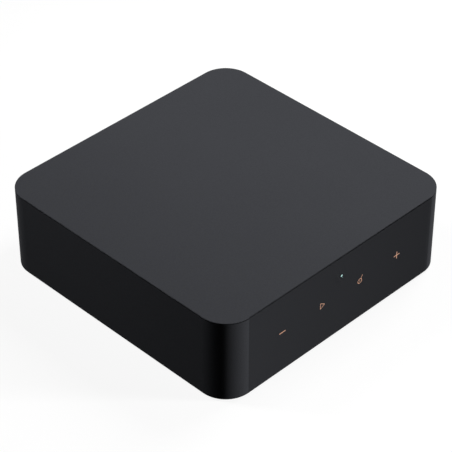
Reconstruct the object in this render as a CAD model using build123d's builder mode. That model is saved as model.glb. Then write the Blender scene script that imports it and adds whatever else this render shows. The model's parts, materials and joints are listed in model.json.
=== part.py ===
# A network music streamer: a low square box with round corners that stands on four rubber feet.
# The front wall carries four touch marks and a status light, the back wall a panel of sockets.
# The origin lies on the surface that the feet stand on, under the middle of the whole part:
# the case stands a little forward of it, because the phono sleeves reach past its back.
# +X is to the right seen from the front, +Y to the back and +Z up. Lengths are in millimetres.
import os

from build123d import *

os.makedirs("parts", exist_ok=True)

# Case
body_width = 140.0
body_depth = 140.0
body_height = 42.0
corner_radius = 13.5
wall = 2.4
roof = 2.4
top_round = 0.25
bottom_round = 0.2
seam_drop = 0.3
seam_width = 0.4
seam_depth = 0.4

# Clearances and cuts
fit_gap = 0.15
close_gap = 0.03
port_gap = 0.25
cut_overrun = 1.0

# Feet and case screws
foot_radius = 7.0
foot_reach = 1.0
foot_round = 0.5
foot_pocket_depth = 1.0
foot_inset_x = 14.0
foot_inset_y = 19.0
case_shank_radius = 1.2
case_shank_length = 12.0
case_head_radius = 2.8
case_head_height = 1.5
screw_web = 1.6

# Base plate
plate_thickness = 2.2
plate_recess = 0.4
cup_radius = 5.2
boss_radius = 3.6
boss_rib = 1.6
rib_start = 2.0
standoff_height = 4.0
standoff_radius = 3.0
vent_length = 24.0
vent_width = 2.0
vent_pitch = 5.0
vent_count = 7
vent_offset = 18.0

# Front marks and status light
mark_raise = 0.5
mark_pitch = 24.2
mark_depth = 0.3
mark_size = 3.8
mark_stroke = 0.45
outlined_stroke = 0.28
play_width = 3.0
play_height = 3.6
play_round = 0.3
note_head_radius = 1.35
note_dot_radius = 0.28
note_stem_lean = 30.0
note_stem_length = 2.0
light_drop = 4.0
light_radius = 0.6
light_flange_radius = 1.2
light_flange_thickness = 0.6
led_width = 3.2
led_height = 2.6
led_depth = 1.1

# Touch board behind the front wall
touch_margin = 5.7
touch_top_gap = 4.6
touch_bottom = 12.5
touch_thickness = 1.0
stake_radius = 1.0
stake_head_radius = 1.7
stake_head_thickness = 0.6
stake_inset = 3.0

# Rear panel
opening_side = 14.5
opening_top = 5.0
opening_round = 2.0
panel_lap = 1.3
panel_flange = 1.2
panel_recess = 0.8

# Main board
board_thickness = 1.6
board_side_gap = 1.0
board_front_inset = 28.0
board_strip_lap = 2.0
board_strip_depth = 11.0
board_edge_gap = 0.4
board_shank_radius = 1.2
board_shank_length = 5.0
board_head_radius = 2.4
board_head_height = 1.5

# Heat spreader and processor
spreader_side_gap = 7.4
spreader_can_gap = 5.0
spreader_thickness = 3.0
spreader_round = 3.0
spreader_lift = 5.0
spreader_setback = 25.0
spreader_shank_radius = 1.0
spreader_shank_length = 6.5
spreader_head_radius = 1.9
spreader_head_height = 1.2
spacer_radius = 2.5
spacer_inset = 4.0
pedestal_size = 16.0
pad_thickness = 1.0
processor_size = 13.0
processor_height = 1.2
carrier_size = 17.0
carrier_height = 0.6

# Flat packages, crystal, capacitors and inductors
lead_width = 0.3
lead_reach = 1.0
lead_thickness = 0.2
package_height = 1.1
touch_chip_length = 5.0
touch_chip_width = 4.4
touch_chip_pitch = 0.65
touch_chip_lead_count = 7
memory_length = 11.0
memory_width = 8.0
memory_pitch = 1.0
memory_lead_count = 9
converter_length = 9.7
converter_width = 4.4
converter_pitch = 0.65
converter_gap = 6.3
converter_lead_count = 14
network_size = 7.0
network_gap = 2.6
crystal_length = 3.2
crystal_width = 2.5
crystal_height = 0.8
crystal_round = 0.4
power_can_radius = 4.0
can_gap = 2.5
power_can_height = 10.0
audio_can_radius = 3.15
audio_can_height = 11.0
inductor_size = 6.0
inductor_height = 3.0

# Phono sockets
phono_block_width = 11.0
phono_block_depth = 12.0
phono_axis_lift = 6.4
phono_pitch = 14.0
phono_block_crown = 5.6
phono_sleeve_radius = 4.15
phono_shoulder_radius = 4.5
phono_shoulder_proud = 0.3
phono_sleeve_wall = 0.65
phono_reach = 8.4
phono_seat = 4.0
phono_tip_chamfer = 0.3
insulator_recess = 0.5
contact_bore_radius = 1.62
contact_wall = 0.33
contact_recess = 0.8
panel_shank_radius = 1.1
panel_shank_length = 9.0
panel_head_radius = 2.3
panel_head_height = 1.4

# Optical sockets
optical_width = 10.4
optical_depth = 15.6
optical_mouth = 8.1
optical_cavity_width = 8.7
optical_floor = 0.9
optical_lip = 3.0
optical_loft = 1.9
optical_ceiling = 0.8
optical_back = 2.0
shutter_width = 8.4
shutter_thickness = 0.9
shutter_gap = 0.25
shutter_barrel_radius = 0.6
shutter_pin_radius = 0.45
shutter_hinge_lift = 0.95
shutter_foot_gap = 0.2
shutter_pin_length = 0.6
lens_radius = 1.6
lens_length = 2.4
lens_reach = 0.9

# Ethernet socket
ethernet_width = 16.2
ethernet_height = 13.6
ethernet_depth = 21.3
ethernet_sheet = 0.3
ethernet_proud = 0.2
plug_width = 11.9
plug_height = 7.0
plug_depth = 14.5
key_width = 6.4
key_height = 1.6
latch_width = 3.8
latch_height = 1.2
latch_floor = 0.9
ethernet_contact_count = 8
ethernet_contact_pitch = 1.02
ethernet_contact_width = 0.45
ethernet_contact_drop = 2.3
ethernet_contact_root = 1.6
ethernet_contact_run = 8.0
ethernet_contact_start = 2.2

# Power socket
power_width = 8.94
power_height = 3.26
power_depth = 7.35
power_sheet = 0.3
power_round = 1.3
tongue_width = 6.7
tongue_height = 0.7
tongue_length = 4.6
tongue_block = 1.8

# Trigger jack
jack_width = 6.4
jack_height = 6.0
jack_depth = 11.5
jack_barrel_radius = 2.9
jack_bore_radius = 1.8
jack_bore_depth = 13.5
jack_proud = 0.3

# Reset switch
reset_body_width = 6.2
reset_body_height = 6.2
reset_body_depth = 4.4
reset_body_setback = 5.0
reset_stem_radius = 1.75
reset_stem_gap = 0.06
reset_hole_gap = 0.35
reset_stem_depth = 2.2
reset_proud = 0.5
reset_axis_lift = 3.6
reset_travel = 0.25

# Wireless module
module_width = 24.0
module_depth = 14.0
module_thickness = 0.8
module_setback = 11.0
module_socket_radius = 1.0
module_socket_height = 0.6
module_socket_inset = 2.0
shield_width = 16.0
shield_depth = 12.0
shield_height = 1.8
shield_sheet = 0.3

# Antennas and their leads
antenna_length = 40.0
antenna_height = 12.0
antenna_thickness = 0.8
antenna_lift = 17.0
antenna_setback = 14.0
lead_radius = 0.56
lead_bend = 5.0
lead_end_run = 5.8
lead_plug_radius = 1.3
lead_plug_height = 1.2

# Ribbon cable
ribbon_x = -28.0
ribbon_width = 8.0
ribbon_thickness = 0.3
ribbon_bend = 4.0
ribbon_socket_width = 11.0
ribbon_socket_depth = 4.0
ribbon_socket_height = 2.0
ribbon_socket_inset = 1.0

# Socket centres as shares of half the opening's width, from the power socket to the line inputs
power_share = 0.883
trigger_share = 0.703
reset_share = 0.555
ethernet_share = 0.3225
optical_in_share = 0.047
optical_out_share = -0.175
coax_share = -0.400
line_out_share = -0.6415
line_in_share = -0.8865

# Levels, from the standing surface up
shell_bottom = foot_reach
shell_top = shell_bottom + body_height
roof_under = shell_top - roof
touch_low = shell_bottom + touch_bottom
touch_high = roof_under - touch_top_gap
mark_level = (shell_bottom + shell_top) / 2 + mark_raise
light_level = touch_high - light_drop
opening_height = body_height - opening_top
plate_bottom = shell_bottom + plate_recess
plate_top = plate_bottom + plate_thickness
foot_top = plate_bottom + foot_pocket_depth
head_seat = foot_top + case_head_height + fit_gap
boss_bottom = head_seat + screw_web
board_bottom = plate_top + standoff_height
board_top = board_bottom + board_thickness
phono_low = board_top + phono_axis_lift
phono_high = phono_low + phono_pitch
phono_screw = (phono_low + phono_high) / 2
spreader_bottom = board_top + spreader_lift

# Planes of the walls, along Y
case_middle = -(phono_reach - panel_recess) / 2
front_face = case_middle - body_depth / 2
front_inner = front_face + wall
rear_face = case_middle + body_depth / 2
rear_inner = rear_face - wall
panel_face = rear_face - panel_recess
panel_back = rear_inner - panel_flange
inner_width = body_width - 2 * wall
inner_depth = body_depth - 2 * wall
inner_radius = corner_radius - wall
opening_width = body_width - 2 * opening_side
touch_width = 3 * mark_pitch + mark_size + 2 * touch_margin

# Places that several pieces share
boss_x = body_width / 2 - foot_inset_x
boss_y = body_depth / 2 - foot_inset_y
boss_places = [
    (side * boss_x, case_middle + end * boss_y) for end in (-1, 1) for side in (-1, 1)
]
case_bore_radius = case_shank_radius + close_gap
standoff_bore_radius = board_shank_radius + close_gap

power_x = power_share * opening_width / 2
trigger_x = trigger_share * opening_width / 2
reset_x = reset_share * opening_width / 2
ethernet_x = ethernet_share * opening_width / 2
optical_in_x = optical_in_share * opening_width / 2
optical_out_x = optical_out_share * opening_width / 2
coax_x = coax_share * opening_width / 2
line_out_x = line_out_share * opening_width / 2
line_in_x = line_in_share * opening_width / 2
phono_axes = [
    (coax_x, phono_low),
    (line_out_x, phono_low),
    (line_out_x, phono_high),
    (line_in_x, phono_low),
    (line_in_x, phono_high),
]
panel_screw_places = [(coax_x, phono_screw), (line_out_x, phono_screw), (line_in_x, phono_screw)]

# The main board reaches from behind the front bosses to the rear panel
board_width = 2 * (boss_x - boss_radius - board_side_gap)
board_rear = panel_back - board_edge_gap
board_front = front_face + board_front_inset
board_depth = board_rear - board_front
board_middle = (board_rear + board_front) / 2
standoff_width_share = 0.448
standoff_front_share = -0.445
standoff_rear_share = 0.28
standoff_x = standoff_width_share * board_width
standoff_front = board_middle + standoff_front_share * board_depth
standoff_rear = board_middle + standoff_rear_share * board_depth
middle_standoff_share = 0.17
standoff_places = [
    (-standoff_x, standoff_front),
    (standoff_x, standoff_front),
    (-standoff_x, standoff_rear),
    (standoff_x, standoff_rear),
    (0, board_middle + middle_standoff_share * board_depth),
]

# Behind the heat spreader the cans, the network chip and the sockets follow each other closely
ethernet_front = panel_face + ethernet_proud
network_place = (
    ethernet_x, ethernet_front - ethernet_depth - network_gap - network_size / 2
)
can_middle = network_place[1] - network_size / 2 - can_gap - power_can_radius
converter_middle = (
    panel_back - phono_block_depth - converter_gap - lead_reach - converter_width / 2
)

spreader_front = board_front + spreader_setback
spreader_rear = can_middle - power_can_radius - spreader_can_gap
spreader_width = board_width - 2 * spreader_side_gap
spreader_depth = spreader_rear - spreader_front
spreader_middle = (spreader_front + spreader_rear) / 2
spacer_x = spreader_width / 2 - spacer_inset
spacer_y = spreader_depth / 2 - spacer_inset
spacer_places = [
    (side * spacer_x, spreader_middle + end * spacer_y) for side in (-1, 1) for end in (-1, 1)
]

stake_low = touch_low + stake_inset
stake_high = touch_high - stake_inset
stake_x = touch_width / 2 - stake_inset
stake_places = [(side * stake_x, level) for side in (-1, 1) for level in (stake_low, stake_high)]


def save(part, name):
    """Labels a finished piece and writes it under its name."""
    part.label = name
    export_step(part, f"parts/{name}.step")


def wall_plane(depth):
    """The plane square to Y at this depth, with X to the right and Z up, facing the front."""
    return Plane.XZ.offset(-depth)


def on_board(across_share, along_share):
    """A place on the main board, from shares of its width and depth about its middle."""
    return (across_share * board_width, board_middle + along_share * board_depth)


def screw(shank_radius, shank_length, head_radius, head_height):
    """A cross-recessed pan-head screw: the head stands on Z zero and the shank hangs below."""
    crown_share = 0.6
    recess_length_share = 1.2
    recess_width_share = 0.3
    recess_depth_share = 0.6
    with BuildPart() as one:
        with BuildSketch(Plane.XY):
            Circle(head_radius)
        extrude(amount=head_height)
        fillet(one.edges().sort_by(Axis.Z)[-1], crown_share * head_height)
        with BuildSketch(Plane.XY):
            Circle(shank_radius)
        extrude(amount=-shank_length)
        chamfer(one.edges().sort_by(Axis.Z)[0], shank_radius / 2)
        with BuildSketch(Plane.XY.offset(head_height)):
            Rectangle(recess_length_share * head_radius, recess_width_share * head_radius)
            Rectangle(recess_width_share * head_radius, recess_length_share * head_radius)
        extrude(amount=-recess_depth_share * head_height, mode=Mode.SUBTRACT)
    return one.part


def chip(length, width, lead_count, lead_pitch):
    """A flat package on the board: leads cross under the body and show on both long sides."""
    bevel_share = 0.25
    with BuildPart() as one:
        with BuildSketch(Plane.XY.offset(lead_thickness / 2)):
            Rectangle(length, width)
        extrude(amount=package_height - lead_thickness / 2)
        chamfer(one.faces().sort_by(Axis.Z)[-1].edges(), bevel_share * package_height)
        with BuildSketch(Plane.XY):
            with GridLocations(lead_pitch, width, lead_count, 1):
                Rectangle(lead_width, width + 2 * lead_reach)
        extrude(amount=lead_thickness)
    return one.part


# Outlines of the four front marks, drawn on the front face
front_plane = Plane.XZ.offset(-front_face)

with BuildSketch(front_plane) as minus_outline:
    with Locations((-1.5 * mark_pitch, mark_level)):
        Rectangle(mark_size, mark_stroke)
    fillet(minus_outline.vertices(), mark_stroke / 4)

with BuildSketch(front_plane) as plus_outline:
    with Locations((1.5 * mark_pitch, mark_level)):
        Rectangle(mark_size, mark_stroke)
        Rectangle(mark_stroke, mark_size)

with BuildSketch(front_plane) as play_outline:
    with BuildLine():
        play_left = -mark_pitch / 2 - play_width / 3
        Polyline(
            (play_left, mark_level - play_height / 2),
            (play_left + play_width, mark_level),
            (play_left, mark_level + play_height / 2),
            close=True,
        )
    make_face()
    fillet(play_outline.vertices(), play_round)
    offset(amount=-outlined_stroke, kind=Kind.INTERSECTION, mode=Mode.SUBTRACT)

note_drop_share = 0.42
note_head_level = mark_level - note_drop_share * note_head_radius
note_stem_start = note_head_radius - outlined_stroke / 2
with BuildSketch(front_plane) as note_outline:
    with Locations((mark_pitch / 2, note_head_level)):
        Circle(note_head_radius)
        Circle(note_head_radius - outlined_stroke, mode=Mode.SUBTRACT)
        with PolarLocations(0, 1, start_angle=90 - note_stem_lean):
            with Locations((note_stem_start, 0)):
                Rectangle(note_stem_length, outlined_stroke, align=(Align.MIN, Align.CENTER))
        Circle(note_dot_radius)

mark_outlines = {
    "minus_mark": minus_outline,
    "play_mark": play_outline,
    "note_mark": note_outline,
    "plus_mark": plus_outline,
}

# Housing: the roof and four walls in one moulding, open below and notched for the rear panel
with BuildPart() as housing:
    with BuildSketch(Plane.XY.offset(shell_bottom)):
        with Locations((0, case_middle)):
            RectangleRounded(body_width, body_depth, corner_radius)
    extrude(amount=body_height)
    fillet(housing.faces().sort_by(Axis.Z)[-1].edges(), top_round)
    fillet(housing.faces().sort_by(Axis.Z)[0].edges(), bottom_round)
    with BuildSketch(Plane.XY.offset(shell_bottom)):
        with Locations((0, case_middle)):
            RectangleRounded(inner_width, inner_depth, inner_radius)
    extrude(amount=roof_under - shell_bottom, mode=Mode.SUBTRACT)
    with BuildSketch(wall_plane(rear_face + cut_overrun)) as notch:
        with Locations((0, shell_bottom - cut_overrun)):
            Rectangle(
                opening_width, opening_height + cut_overrun, align=(Align.CENTER, Align.MIN)
            )
        fillet(notch.vertices().group_by(Axis.Z)[-1], opening_round)
    extrude(amount=wall + 2 * cut_overrun, mode=Mode.SUBTRACT)
    # A fine shadow line runs round the walls just under the top edge
    with BuildSketch(Plane.XY.offset(shell_top - seam_drop - seam_width)):
        with Locations((0, case_middle)):
            RectangleRounded(
                body_width + 2 * cut_overrun,
                body_depth + 2 * cut_overrun,
                corner_radius + cut_overrun,
            )
            RectangleRounded(
                body_width - 2 * seam_depth,
                body_depth - 2 * seam_depth,
                corner_radius - seam_depth,
                mode=Mode.SUBTRACT,
            )
    extrude(amount=seam_width, mode=Mode.SUBTRACT)
    # Four screw bosses hang from the roof, each braced to its side wall
    with BuildSketch(Plane.XY.offset(boss_bottom)):
        with Locations(*boss_places):
            Circle(boss_radius)
    extrude(amount=roof_under - boss_bottom)
    brace_length = inner_width / 2 - boss_x
    brace_x = boss_x + brace_length / 2
    with BuildSketch(Plane.XY.offset(boss_bottom + rib_start)):
        with Locations((0, case_middle)):
            with GridLocations(2 * brace_x, 2 * boss_y, 2, 2):
                Rectangle(brace_length, boss_rib)
    extrude(amount=roof_under - boss_bottom - rib_start)
    with BuildSketch(Plane.XY.offset(boss_bottom)):
        with Locations(*boss_places):
            Circle(case_bore_radius)
    extrude(amount=case_shank_length, mode=Mode.SUBTRACT)
    # Shallow pockets take the marks, and a small hole the light pipe
    for outline in mark_outlines.values():
        extrude(outline.sketch, amount=-mark_depth, mode=Mode.SUBTRACT)
    with BuildSketch(front_plane):
        with Locations((0, light_level)):
            Circle(light_radius + close_gap)
    extrude(amount=-wall, mode=Mode.SUBTRACT)
    # Heat stakes hold the touch board against the inside of the front wall
    with BuildSketch(wall_plane(front_inner)):
        with Locations(*stake_places):
            Circle(stake_radius)
    extrude(amount=-(touch_thickness + stake_head_thickness))
    with BuildSketch(wall_plane(front_inner + touch_thickness)):
        with Locations(*stake_places):
            Circle(stake_head_radius)
    extrude(amount=-stake_head_thickness)
save(housing.part, "housing")

# Base plate: closes the bottom, carries the main board and takes the feet over its screws
with BuildPart() as base_plate:
    with BuildSketch(Plane.XY.offset(plate_bottom)):
        with Locations((0, case_middle)):
            RectangleRounded(
                inner_width - 2 * fit_gap, inner_depth - 2 * fit_gap, inner_radius - fit_gap
            )
        with Locations((0, panel_back - fit_gap)):
            Rectangle(
                opening_width + 2 * panel_lap + 2 * fit_gap,
                inner_depth,
                align=(Align.CENTER, Align.MIN),
                mode=Mode.SUBTRACT,
            )
    extrude(amount=plate_thickness)
    with BuildSketch(Plane.XY.offset(plate_top)):
        with Locations(*boss_places):
            Circle(cup_radius)
    extrude(amount=boss_bottom - plate_top)
    with BuildSketch(Plane.XY.offset(plate_top)):
        with Locations(*standoff_places):
            Circle(standoff_radius)
    extrude(amount=standoff_height)
    with BuildSketch(Plane.XY.offset(plate_bottom)):
        with Locations(*boss_places):
            Circle(foot_radius + fit_gap)
    extrude(amount=foot_pocket_depth, mode=Mode.SUBTRACT)
    with BuildSketch(Plane.XY.offset(plate_bottom)):
        with Locations(*boss_places):
            Circle(case_head_radius + port_gap)
    extrude(amount=head_seat - plate_bottom, mode=Mode.SUBTRACT)
    with BuildSketch(Plane.XY.offset(plate_bottom)):
        with Locations(*boss_places):
            Circle(case_shank_radius + port_gap)
    extrude(amount=boss_bottom - plate_bottom, mode=Mode.SUBTRACT)
    with BuildSketch(Plane.XY.offset(board_bottom)):
        with Locations(*standoff_places):
            Circle(standoff_bore_radius)
    extrude(amount=-board_shank_length + board_thickness, mode=Mode.SUBTRACT)
    with BuildSketch(Plane.XY.offset(plate_bottom)):
        with Locations((0, case_middle)):
            with GridLocations(2 * vent_offset, vent_pitch, 2, vent_count):
                SlotOverall(vent_length, vent_width)
    extrude(amount=plate_thickness, mode=Mode.SUBTRACT)
save(base_plate.part, "base_plate")

# Feet: one rubber pad in each pocket of the base plate, over the case screw
foot_names = ["foot_front_left", "foot_front_right", "foot_rear_left", "foot_rear_right"]
for foot_name, foot_place in zip(foot_names, boss_places):
    with BuildPart() as foot:
        with BuildSketch(Plane.XY):
            with Locations(foot_place):
                Circle(foot_radius)
        extrude(amount=foot_top)
        fillet(foot.edges().sort_by(Axis.Z)[0], foot_round)
    save(foot.part, foot_name)

case_screw = screw(case_shank_radius, case_shank_length, case_head_radius, case_head_height)
with BuildPart() as case_screws:
    with Locations(*[Location((x, y, head_seat), (180, 0, 0)) for x, y in boss_places]):
        add(case_screw)
save(case_screws.part, "case_screws")

# Front marks: thin inlays that lie flush in their pockets
for mark_name, outline in mark_outlines.items():
    with BuildPart() as mark:
        extrude(outline.sketch, amount=-mark_depth)
    save(mark.part, mark_name)

# Light pipe: a clear pin through the front wall, with a flange that sits behind it
with BuildPart() as light_pipe:
    with BuildSketch(front_plane):
        with Locations((0, light_level)):
            Circle(light_radius)
    extrude(amount=-wall)
    with BuildSketch(wall_plane(front_inner)):
        with Locations((0, light_level)):
            Circle(light_flange_radius)
    extrude(amount=-light_flange_thickness)
save(light_pipe.part, "light_pipe")

# Touch board: the copper electrodes behind the marks are layers of this board
with BuildPart() as touch_board:
    with BuildSketch(wall_plane(front_inner)):
        with Locations((0, (touch_low + touch_high) / 2)):
            RectangleRounded(touch_width, touch_high - touch_low, stake_radius)
        with Locations(*stake_places):
            Circle(stake_radius + close_gap, mode=Mode.SUBTRACT)
        with Locations((0, light_level)):
            Circle(light_flange_radius + fit_gap, mode=Mode.SUBTRACT)
    extrude(amount=-touch_thickness)
save(touch_board.part, "touch_board")

touch_back = front_inner + touch_thickness
with BuildPart() as status_led:
    with BuildSketch(wall_plane(touch_back)):
        with Locations((0, light_level)):
            Rectangle(led_width, led_height)
    extrude(amount=-led_depth)
    chamfer(status_led.faces().sort_by(Axis.Y)[-1].edges(), led_depth / 4)
save(status_led.part, "status_led")

touch_chip = chip(touch_chip_length, touch_chip_width, touch_chip_lead_count, touch_chip_pitch)
touch_chip_x = -mark_pitch
with BuildPart() as touch_controller:
    with Locations(Location((touch_chip_x, touch_back, mark_level), (-90, 0, 0))):
        add(touch_chip)
save(touch_controller.part, "touch_controller")

# Rear panel: a flange laps the inside of the notch and a raised field fills it
with BuildPart() as rear_panel:
    with BuildSketch(wall_plane(rear_inner)):
        with Locations((0, shell_bottom)):
            Rectangle(
                opening_width + 2 * panel_lap,
                opening_height + panel_lap,
                align=(Align.CENTER, Align.MIN),
            )
    extrude(amount=panel_flange)
    with BuildSketch(wall_plane(panel_face)) as field:
        with Locations((0, shell_bottom)):
            Rectangle(
                opening_width - 2 * fit_gap,
                opening_height - fit_gap,
                align=(Align.CENTER, Align.MIN),
            )
        fillet(field.vertices().group_by(Axis.Z)[-1], opening_round - fit_gap)
    extrude(amount=panel_face - rear_inner)
    with BuildSketch(wall_plane(panel_face)):
        with Locations(*phono_axes):
            Circle(phono_shoulder_radius + port_gap)
        with Locations(*panel_screw_places):
            Circle(panel_shank_radius + fit_gap)
        with Locations((trigger_x, board_top + jack_height / 2)):
            Circle(jack_barrel_radius + port_gap)
        with Locations((reset_x, board_top + reset_axis_lift)):
            Circle(reset_stem_radius + reset_hole_gap)
        with Locations((power_x, board_top + power_height / 2)):
            RectangleRounded(
                power_width + 2 * port_gap, power_height + 2 * port_gap, power_round + port_gap
            )
        with Locations((ethernet_x, board_top + ethernet_height / 2)):
            Rectangle(ethernet_width + 2 * port_gap, ethernet_height + 2 * port_gap)
        optical_height = optical_floor + optical_mouth + optical_loft + optical_ceiling
        for x in (optical_in_x, optical_out_x):
            with Locations((x, board_top + optical_height / 2)):
                Rectangle(optical_width + 2 * port_gap, optical_height + 2 * port_gap)
    extrude(amount=panel_face - panel_back, mode=Mode.SUBTRACT)
save(rear_panel.part, "rear_panel")

# Main board: a wide strip at the back carries the sockets and narrows between the bosses
with BuildPart() as main_board:
    with BuildSketch(Plane.XY.offset(board_bottom)):
        with Locations((0, board_middle)):
            Rectangle(board_width, board_depth)
        with Locations((0, board_rear)):
            Rectangle(
                opening_width + 2 * board_strip_lap,
                board_strip_depth,
                align=(Align.CENTER, Align.MAX),
            )
        with Locations(*standoff_places):
            Circle(board_shank_radius + fit_gap, mode=Mode.SUBTRACT)
    extrude(amount=board_thickness)
save(main_board.part, "main_board")

board_screw = screw(board_shank_radius, board_shank_length, board_head_radius, board_head_height)
with BuildPart() as board_screws:
    with Locations(*[(x, y, board_top) for x, y in standoff_places]):
        add(board_screw)
save(board_screws.part, "board_screws")


def phono_block(x, axes, top):
    """A socket block on the board behind the panel, with a blind seat for each sleeve."""
    edge_share = 0.08
    with BuildPart() as block:
        with BuildSketch(wall_plane(panel_back)):
            with Locations((x, board_top)):
                Rectangle(phono_block_width, top - board_top, align=(Align.CENTER, Align.MIN))
        extrude(amount=phono_block_depth)
        chamfer(block.faces().sort_by(Axis.Z)[-1].edges(), edge_share * phono_block_width)
        with BuildSketch(wall_plane(panel_back)):
            with Locations(*axes):
                Circle(phono_shoulder_radius + close_gap)
        extrude(amount=phono_seat, mode=Mode.SUBTRACT)
        with BuildSketch(wall_plane(panel_back)):
            with Locations((x, phono_screw)):
                Circle(panel_shank_radius + close_gap)
        extrude(amount=panel_shank_length, mode=Mode.SUBTRACT)
    return block.part


stack_top = phono_high + phono_block_crown
coax_top = phono_screw + panel_head_radius + close_gap + phono_block_crown / 2
save(phono_block(coax_x, phono_axes[:1], coax_top), "coax_block")
save(phono_block(line_out_x, phono_axes[1:3], stack_top), "line_out_block")
save(phono_block(line_in_x, phono_axes[3:], stack_top), "line_in_block")

# The metal sleeves that a phono plug grips, with a wider root inside the block and panel
sleeve_root = panel_back - phono_seat
sleeve_tip = panel_face + phono_reach
shoulder_end = panel_face + phono_shoulder_proud
sleeve_inner_radius = phono_sleeve_radius - phono_sleeve_wall
with BuildPart() as phono_sleeves:
    with BuildSketch(wall_plane(sleeve_tip)):
        with Locations(*phono_axes):
            Circle(phono_sleeve_radius)
    extrude(amount=sleeve_tip - sleeve_root)
    chamfer(
        phono_sleeves.edges().filter_by(GeomType.CIRCLE).group_by(Axis.Y)[-1], phono_tip_chamfer
    )
    with BuildSketch(wall_plane(shoulder_end)):
        with Locations(*phono_axes):
            Circle(phono_shoulder_radius)
    extrude(amount=shoulder_end - sleeve_root)
    with BuildSketch(wall_plane(sleeve_tip)):
        with Locations(*phono_axes):
            Circle(sleeve_inner_radius)
    extrude(amount=sleeve_tip - sleeve_root, mode=Mode.SUBTRACT)
save(phono_sleeves.part, "phono_sleeves")

# Coloured insulators fill the sleeves and hold the tube that takes the plug's pin
insulator_tip = sleeve_tip - insulator_recess
contact_tip = insulator_tip - contact_recess
contact_outer_radius = contact_bore_radius + contact_wall
insulator_groups = {
    "coax_insulator": phono_axes[:1],
    "left_insulators": [phono_axes[2], phono_axes[4]],
    "right_insulators": [phono_axes[1], phono_axes[3]],
}
for insulator_name, axes in insulator_groups.items():
    with BuildPart() as insulators:
        with BuildSketch(wall_plane(insulator_tip)):
            with Locations(*axes):
                Circle(sleeve_inner_radius - close_gap)
                Circle(contact_outer_radius + close_gap, mode=Mode.SUBTRACT)
        extrude(amount=insulator_tip - sleeve_root)
        tip_edges = insulators.edges().filter_by(GeomType.CIRCLE).group_by(Axis.Y)[-1]
        outer_rims = tip_edges.group_by(SortBy.RADIUS)[-1]
        chamfer(outer_rims, contact_wall)
    save(insulators.part, insulator_name)

with BuildPart() as phono_contacts:
    with BuildSketch(wall_plane(contact_tip)):
        with Locations(*phono_axes):
            Circle(contact_outer_radius)
            Circle(contact_bore_radius, mode=Mode.SUBTRACT)
    extrude(amount=contact_tip - sleeve_root)
save(phono_contacts.part, "phono_contacts")

panel_screw = screw(panel_shank_radius, panel_shank_length, panel_head_radius, panel_head_height)
with BuildPart() as panel_screws:
    with Locations(*[Location((x, panel_face, z), (-90, 0, 0)) for x, z in panel_screw_places]):
        add(panel_screw)
save(panel_screws.part, "panel_screws")

# Optical sockets: a square mouth with a sprung shutter that swings in and up into a loft
optical_bottom = board_top
mouth_bottom = optical_bottom + optical_floor
mouth_top = mouth_bottom + optical_mouth
loft_top = mouth_top + optical_loft
hinge_level = mouth_top + shutter_hinge_lift
hinge_depth = panel_face - optical_lip - shutter_gap - shutter_thickness / 2
cavity_back = panel_face - optical_depth + optical_back


def optical_housing(x):
    """The moulded socket body around one optical mouth."""
    with BuildPart() as body:
        with BuildSketch(wall_plane(panel_face)):
            with Locations((x, optical_bottom)):
                Rectangle(optical_width, optical_height, align=(Align.CENTER, Align.MIN))
        extrude(amount=optical_depth)
        with BuildSketch(wall_plane(panel_face)):
            with Locations((x, mouth_bottom)):
                Rectangle(optical_mouth, optical_mouth, align=(Align.CENTER, Align.MIN))
        extrude(amount=optical_lip, mode=Mode.SUBTRACT)
        with BuildSketch(wall_plane(panel_face - optical_lip)):
            with Locations((x, mouth_bottom)):
                Rectangle(
                    optical_cavity_width, loft_top - mouth_bottom, align=(Align.CENTER, Align.MIN)
                )
        extrude(amount=panel_face - optical_lip - cavity_back, mode=Mode.SUBTRACT)
        with BuildSketch(Plane.YZ.offset(x - optical_width / 2)):
            with Locations((hinge_depth, hinge_level)):
                Circle(shutter_pin_radius + fit_gap)
        extrude(amount=optical_width, mode=Mode.SUBTRACT)
        with BuildSketch(wall_plane(cavity_back)):
            with Locations((x, mouth_bottom + optical_mouth / 2)):
                Circle(lens_radius + close_gap)
        extrude(amount=lens_length - lens_reach, mode=Mode.SUBTRACT)
    return body.part


def optical_shutter(x):
    """A flap that hangs from its two moulded pins just behind the mouth."""
    flap_bottom = mouth_bottom + shutter_foot_gap
    with BuildPart() as flap:
        with BuildSketch(Plane.YZ.offset(x - shutter_width / 2)):
            with Locations((hinge_depth, flap_bottom)):
                Rectangle(
                    shutter_thickness, hinge_level - flap_bottom, align=(Align.CENTER, Align.MIN)
                )
            with Locations((hinge_depth, hinge_level)):
                Circle(shutter_barrel_radius)
        extrude(amount=shutter_width)
        pin_span = shutter_width + 2 * shutter_pin_length
        with BuildSketch(Plane.YZ.offset(x - pin_span / 2)):
            with Locations((hinge_depth, hinge_level)):
                Circle(shutter_pin_radius)
        extrude(amount=pin_span)
    return flap.part


for direction, x in (("in", optical_in_x), ("out", optical_out_x)):
    save(optical_housing(x), f"optical_{direction}_housing")
    save(optical_shutter(x), f"optical_{direction}_shutter")

with BuildPart() as optical_lenses:
    with BuildSketch(wall_plane(cavity_back + lens_reach)):
        with Locations(*[(x, mouth_bottom + optical_mouth / 2) for x in (optical_in_x, optical_out_x)]):
            Circle(lens_radius)
    extrude(amount=lens_length)
    fillet(
        optical_lenses.edges().filter_by(GeomType.CIRCLE).group_by(Axis.Y)[-1], lens_radius / 2
    )
save(optical_lenses.part, "optical_lenses")

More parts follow.
